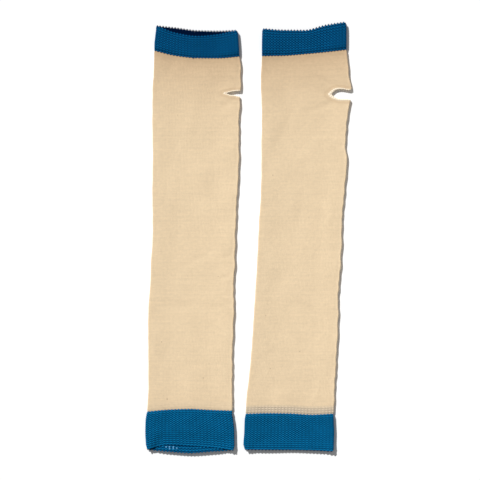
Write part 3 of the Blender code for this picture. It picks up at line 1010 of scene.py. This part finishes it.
def spaced(points, step):
    """A closed loop of rows, spaced evenly along its smoothed path in their first three values."""
    for _ in range(2):
        points = (np.roll(points, 1, axis=0) + 2.0 * points + np.roll(points, -1, axis=0)) / 4.0
    closed = np.vstack([points, points[:1]])
    run = np.concatenate([[0.0], np.cumsum(np.linalg.norm(np.diff(closed[:, :3], axis=0), axis=1))])
    count = int(round(run[-1] / step))
    at = np.arange(count) * run[-1] / count
    rows = [np.interp(at, run, closed[:, axis]) for axis in range(closed.shape[1])]
    return np.stack(rows, axis=-1), run[-1]


def unit(vectors):
    """Vectors made one long."""
    return vectors / np.linalg.norm(vectors, axis=-1, keepdims=True)


def cord_mesh(warmer, loop):
    """The beaded, overcast edge that finishes a thumb slit."""
    rows, length = spaced(loop, CORD_STEP)
    path, over, half_width = rows[:, :3], unit(rows[:, 3:6]), rows[:, 6:]
    beads = int(round(length / BEAD_PITCH))
    count = len(path)
    ahead = unit(np.roll(path, -1, axis=0) - np.roll(path, 1, axis=0))
    side = unit(np.cross(ahead, over))
    angle = np.arange(CORD_SIDES) * 2.0 * pi / CORD_SIDES
    twist = pi * beads * np.arange(count) / count
    slant = BEAD_SLANT * np.sin(angle)
    bead = np.abs(np.cos(twist[:, None] + slant[None, :])) ** BEAD_FULLNESS
    wide = (half_width - CORD_BEAD + CORD_BEAD * bead) * np.cos(angle)[None, :]
    high = (CORD_HALF_HEIGHT - CORD_BEAD + CORD_BEAD * bead) * np.sin(angle)[None, :]
    points = path[:, None, :] + side[:, None, :] * wide[..., None] + over[:, None, :] * high[..., None]
    points[..., 2] = np.maximum(points[..., 2], 0.0)
    faces = torus_faces(count, CORD_SIDES)
    return make_mesh(f"slit_edge_{warmer.name}", points.reshape(-1, 3), faces, None, {"shade": bead})


class Graph:
    """Short ways to add shader nodes to a material."""

    def __init__(self, name):
        self.material = bpy.data.materials.new(name)
        self.material.use_nodes = True
        self.tree = self.material.node_tree
        self.shader = self.tree.nodes["Principled BSDF"]

    def new(self, kind, **inputs):
        """A new node with its inputs filled."""
        node = self.tree.nodes.new("ShaderNode" + kind)
        for name, value in inputs.items():
            self.put(node.inputs[name], value)
        return node

    def put(self, socket, value):
        """Links a socket to another one, or sets its value."""
        if isinstance(value, bpy.types.NodeSocket):
            self.tree.links.new(value, socket)
        else:
            socket.default_value = value

    def math(self, operation, *values):
        node = self.new("Math")
        node.operation = operation
        for socket, value in zip(node.inputs, values):
            self.put(socket, value)
        return node.outputs[0]

    def mix(self, factor, first, second):
        node = self.new("Mix")
        node.data_type = "RGBA"
        self.put(node.inputs["Factor"], factor)
        self.put(node.inputs[6], first)
        self.put(node.inputs[7], second)
        return node.outputs[2]

    def attribute(self, name):
        node = self.new("Attribute")
        node.attribute_name = name
        return node.outputs["Fac"]

    def split(self, vector):
        node = self.new("SeparateXYZ", Vector=vector)
        return node.outputs[0], node.outputs[1]

    def knit(self):
        """Wales and courses counted across and along the knit."""
        node = self.new("UVMap")
        node.uv_map = "knit"
        return self.split(node.outputs[0])

    def place(self):
        return self.new("TexCoord").outputs["Object"]

    def combine(self, x, y):
        return self.new("CombineXYZ", X=x, Y=y).outputs[0]

    def knit_place(self, over_wales, over_courses):
        """A place in the knit, stretched to draw a noise out."""
        wales, courses = self.knit()
        x = self.math("MULTIPLY", wales, over_wales)
        y = self.math("MULTIPLY", courses, over_courses)
        return self.combine(x, y)

    def noise(self, vector, scale, detail, roughness=0.5):
        node = self.new("TexNoise", Vector=vector, Scale=scale, Detail=detail, Roughness=roughness)
        return node.outputs["Fac"]

    def distance(self, vector, centre):
        node = self.new("VectorMath")
        node.operation = "DISTANCE"
        self.put(node.inputs[0], vector)
        self.put(node.inputs[1], centre)
        return node.outputs["Value"]

    def steps(self, value, low, high):
        node = self.new("MapRange")
        node.interpolation_type = "SMOOTHSTEP"
        self.put(node.inputs["Value"], value)
        self.put(node.inputs["From Min"], low)
        self.put(node.inputs["From Max"], high)
        return node.outputs["Result"]

    def shaded(self, colour, value, size):
        """The colour, lighter where a value is above 0 and darker where it is below."""
        node = self.new("VectorMath")
        node.operation = "SCALE"
        self.put(node.inputs[0], colour)
        self.put(node.inputs["Scale"], self.math("MULTIPLY_ADD", value, size, 1.0))
        return node.outputs[0]

    def uneven(self, colour, noise, size):
        """The colour made lighter and darker by a noise, give or take size."""
        return self.shaded(colour, self.math("SUBTRACT", noise, 0.5), 2.0 * size)

    def grained(self, colour, grains):
        """The colour with each of the grains all over it."""
        for size, *noise in grains:
            colour = self.uneven(colour, self.noise(self.place(), *noise), size)
        return colour

    def bump(self, height, distance, strength):
        node = self.new("Bump", Height=height, Distance=distance, Strength=strength)
        self.put(self.shader.inputs["Normal"], node.outputs[0])

    def spots(self, colour, specks, spot_colour):
        place = self.combine(*self.split(self.place()))
        outer, inner = SPECK_FADE
        for x, y, radius, strength in specks:
            gap = self.distance(place, (x * MM, y * MM, 0.0))
            near = self.steps(gap, outer * radius * MM, inner * radius * MM)
            colour = self.mix(self.math("MULTIPLY", near, strength), colour, spot_colour)
        return colour

    def cloth(self, colour, roughness, sheen, specular):
        self.put(self.shader.inputs["Base Color"], colour)
        self.shader.inputs["Roughness"].default_value = roughness
        self.shader.inputs["Sheen Weight"].default_value = sheen
        self.shader.inputs["Sheen Roughness"].default_value = SHEEN_ROUGHNESS
        self.shader.inputs["Specular IOR Level"].default_value = specular
        return self.material


def jersey_stitches(graph):
    """Height, 0 to 1, of plain knit stitches: two leaning legs in every wale and course."""
    math = graph.math
    wales, courses = graph.knit()
    across = math("ABSOLUTE", math("SUBTRACT", math("FRACT", wales), 0.5))
    along = math("FRACT", courses)
    spread = math("MULTIPLY_ADD", along, STITCH_LEAN, STITCH_FOOT)
    off = math("DIVIDE", math("SUBTRACT", across, spread), STITCH_HALF_WIDTH)
    square = math("MULTIPLY", off, off)
    leg = math("SQRT", math("MAXIMUM", math("SUBTRACT", 1.0, square), 0.0))
    plump = math("SINE", math("MULTIPLY", along, pi))
    height = math("MULTIPLY_ADD", plump, 1.0 - STITCH_END_HEIGHT, STITCH_END_HEIGHT)
    return math("MULTIPLY", leg, height)


def jersey_material():
    """Fine cream jersey: plain stitches, painted light and shade, faint course streaks, mottling, a few
    specks.
    """
    graph = Graph("cream_jersey_knit")
    math = graph.math
    stitches = jersey_stitches(graph)
    wales, courses = graph.knit()
    ribbed = graph.attribute("ribbed")
    # Tan for painted shade in the cream, and by the arm seam
    colour = graph.mix(graph.attribute("painted_shade_and_tan"), CREAM, PAINTED_SHADE_TAN)
    # Painted shade between the stitches
    gap = math("MULTIPLY", math("SUBTRACT", 1.0, stitches), PAINTED_GAP_SHADE)
    colour = graph.mix(gap, colour, CREAM_PAINTED_GAP_SHADE)
    colour = graph.mix(math("MULTIPLY", ribbed, RIBBED_TAN), colour, SEAM_TAN)
    for size, over_wales, over_courses, *noise in KNIT_NOISES:
        streaks = graph.noise(graph.knit_place(over_wales, over_courses), *noise)
        colour = graph.uneven(colour, streaks, size)
    colour = graph.grained(colour, JERSEY_GRAINS)
    ribs = math("COSINE", math("MULTIPLY", wales, 2.0 * pi * WALE / RIB_PITCH["arm"]))
    steps = math("COSINE", math("MULTIPLY", courses, 2.0 * pi * COURSE / KNOT_PITCH))
    dots = math("MULTIPLY_ADD", ribs, steps, math("ADD", ribs, steps))
    knots = math("MULTIPLY", dots, ribbed)
    colour = graph.shaded(colour, knots, KNOT_CONTRAST)
    # Painted light on the right fold, painted shade under the hand cuff
    colour = graph.shaded(colour, graph.attribute("edge"), PAINTED_EDGE_CONTRAST)
    colour = graph.spots(colour, FIBRES, FIBRE_BROWN)
    colour = graph.spots(colour, THREAD_END, BLUE_GROOVE["hand"])
    fuzz = graph.noise(graph.place(), *FUZZ)
    height = math("MULTIPLY_ADD", fuzz, FUZZ_HEIGHT, stitches)
    height = math("MULTIPLY_ADD", knots, KNOT_HEIGHT, height)
    graph.bump(height, *JERSEY_BUMP)
    return graph.cloth(colour, *JERSEY_FINISH)


def rib_material(end):
    """Blue ribbing: painted light on the stitches, painted shade in the grooves and navy painted shade
    inside.
    """
    graph = Graph(f"blue_rib_{end}")
    lit = graph.steps(graph.attribute("shade"), *RIB_SHADES)
    colour = graph.mix(lit, BLUE_GROOVE[end], BLUE_CREST[end])
    colour = graph.grained(colour, RIB_GRAINS)
    # Navy painted shade inside the mouth
    colour = graph.mix(graph.attribute("inside"), colour, NAVY_PAINTED_SHADE)
    if end == "arm":
        colour = graph.spots(colour, PALE_MOUTH_SPOTS, PALE_BLUE)
    fibres = graph.noise(graph.knit_place(RIB_FIBRE_FINENESS, 1.0), *RIB_FIBRES)
    graph.bump(fibres, *RIB_BUMP)
    return graph.cloth(colour, *RIB_FINISH)


def cord_material():
    """Pale overcast yarn round the slits, shaded between its turns."""
    graph = Graph("cream_cord")
    lit = graph.steps(graph.attribute("shade"), *CORD_SHADES)
    colour = graph.mix(lit, CORD_SHADOW, CORD_CREAM)
    graph.bump(graph.noise(graph.place(), *CORD_FIBRES), *CORD_BUMP)
    return graph.cloth(colour, *CORD_FINISH)


def make_stage():
    """A plain white floor."""
    half = FLOOR_SIZE / MM / 2.0
    corners = np.array([[-1.0, -1.0, 0.0], [1.0, -1.0, 0.0], [1.0, 1.0, 0.0], [-1.0, 1.0, 0.0]])
    floor = make_mesh("floor", half * corners, np.array([[0, 1, 2, 3]]))
    graph = Graph("floor_white")
    colour = graph.grained(FLOOR_WHITE, FLOOR_GRAINS)
    floor.data.materials.append(graph.cloth(colour, *FLOOR_FINISH))


def make_lights():
    """A small high key light from the upper left and an even pale sky."""
    key = bpy.data.lights.new("key", "SUN")
    key.energy = KEY_STRENGTH
    key.angle = radians(KEY_ANGLE)
    lamp = add_object("key", key)
    level = cos(radians(KEY_ELEVATION))
    towards = Vector((KEY_FROM[0] * level, KEY_FROM[1] * level, sin(radians(KEY_ELEVATION))))
    lamp.rotation_euler = towards.to_track_quat("Z", "Y").to_euler()
    world = bpy.data.worlds.new("sky")
    world.use_nodes = True
    sky = world.node_tree.nodes["Background"]
    sky.inputs["Color"].default_value = (1.0, 1.0, 1.0, 1.0)
    sky.inputs["Strength"].default_value = AMBIENT
    bpy.context.scene.world = world


def make_camera():
    """A long lens straight above, framed as the photo is."""
    data = bpy.data.cameras.new("camera")
    data.lens = LENS
    data.sensor_width = SENSOR
    data.clip_end = CLIP_END
    camera = add_object("camera", data)
    distance = FRAME_WIDTH * MM * LENS / SENSOR
    camera.location = (PHOTO_CENTRE[0] * MM, PHOTO_CENTRE[1] * MM, distance)
    bpy.context.scene.camera = camera


def dress(piece, material, node=None):
    """Gives a piece its material and its body, and hides the solid it stands for."""
    piece.data.materials.append(material)
    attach(piece, BODY)
    if node:
        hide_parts(node)


def make_warmer(warmer, materials):
    """All pieces of one arm warmer."""
    body, loop = body_mesh(warmer)
    dress(body, materials["jersey"], f"body_{warmer.name}")
    edge = cord_mesh(warmer, loop)
    dress(edge, materials["cord"])
    for end, length in (("hand", 0.027), ("arm", 0.040)):
        cuff = cuff_mesh(warmer, end)
        dress(cuff, materials[end], f"{end}_cuff_{warmer.name}")


def main():
    """Builds the stage and both arm warmers."""
    bpy.context.scene.view_settings.view_transform = "Standard"
    make_camera()
    make_lights()
    make_stage()
    materials = {
        "jersey": jersey_material(),
        "cord": cord_material(),
        "hand": rib_material("hand"),
        "arm": rib_material("arm"),
    }
    for warmer in WARMERS:
        make_warmer(warmer, materials)


main()
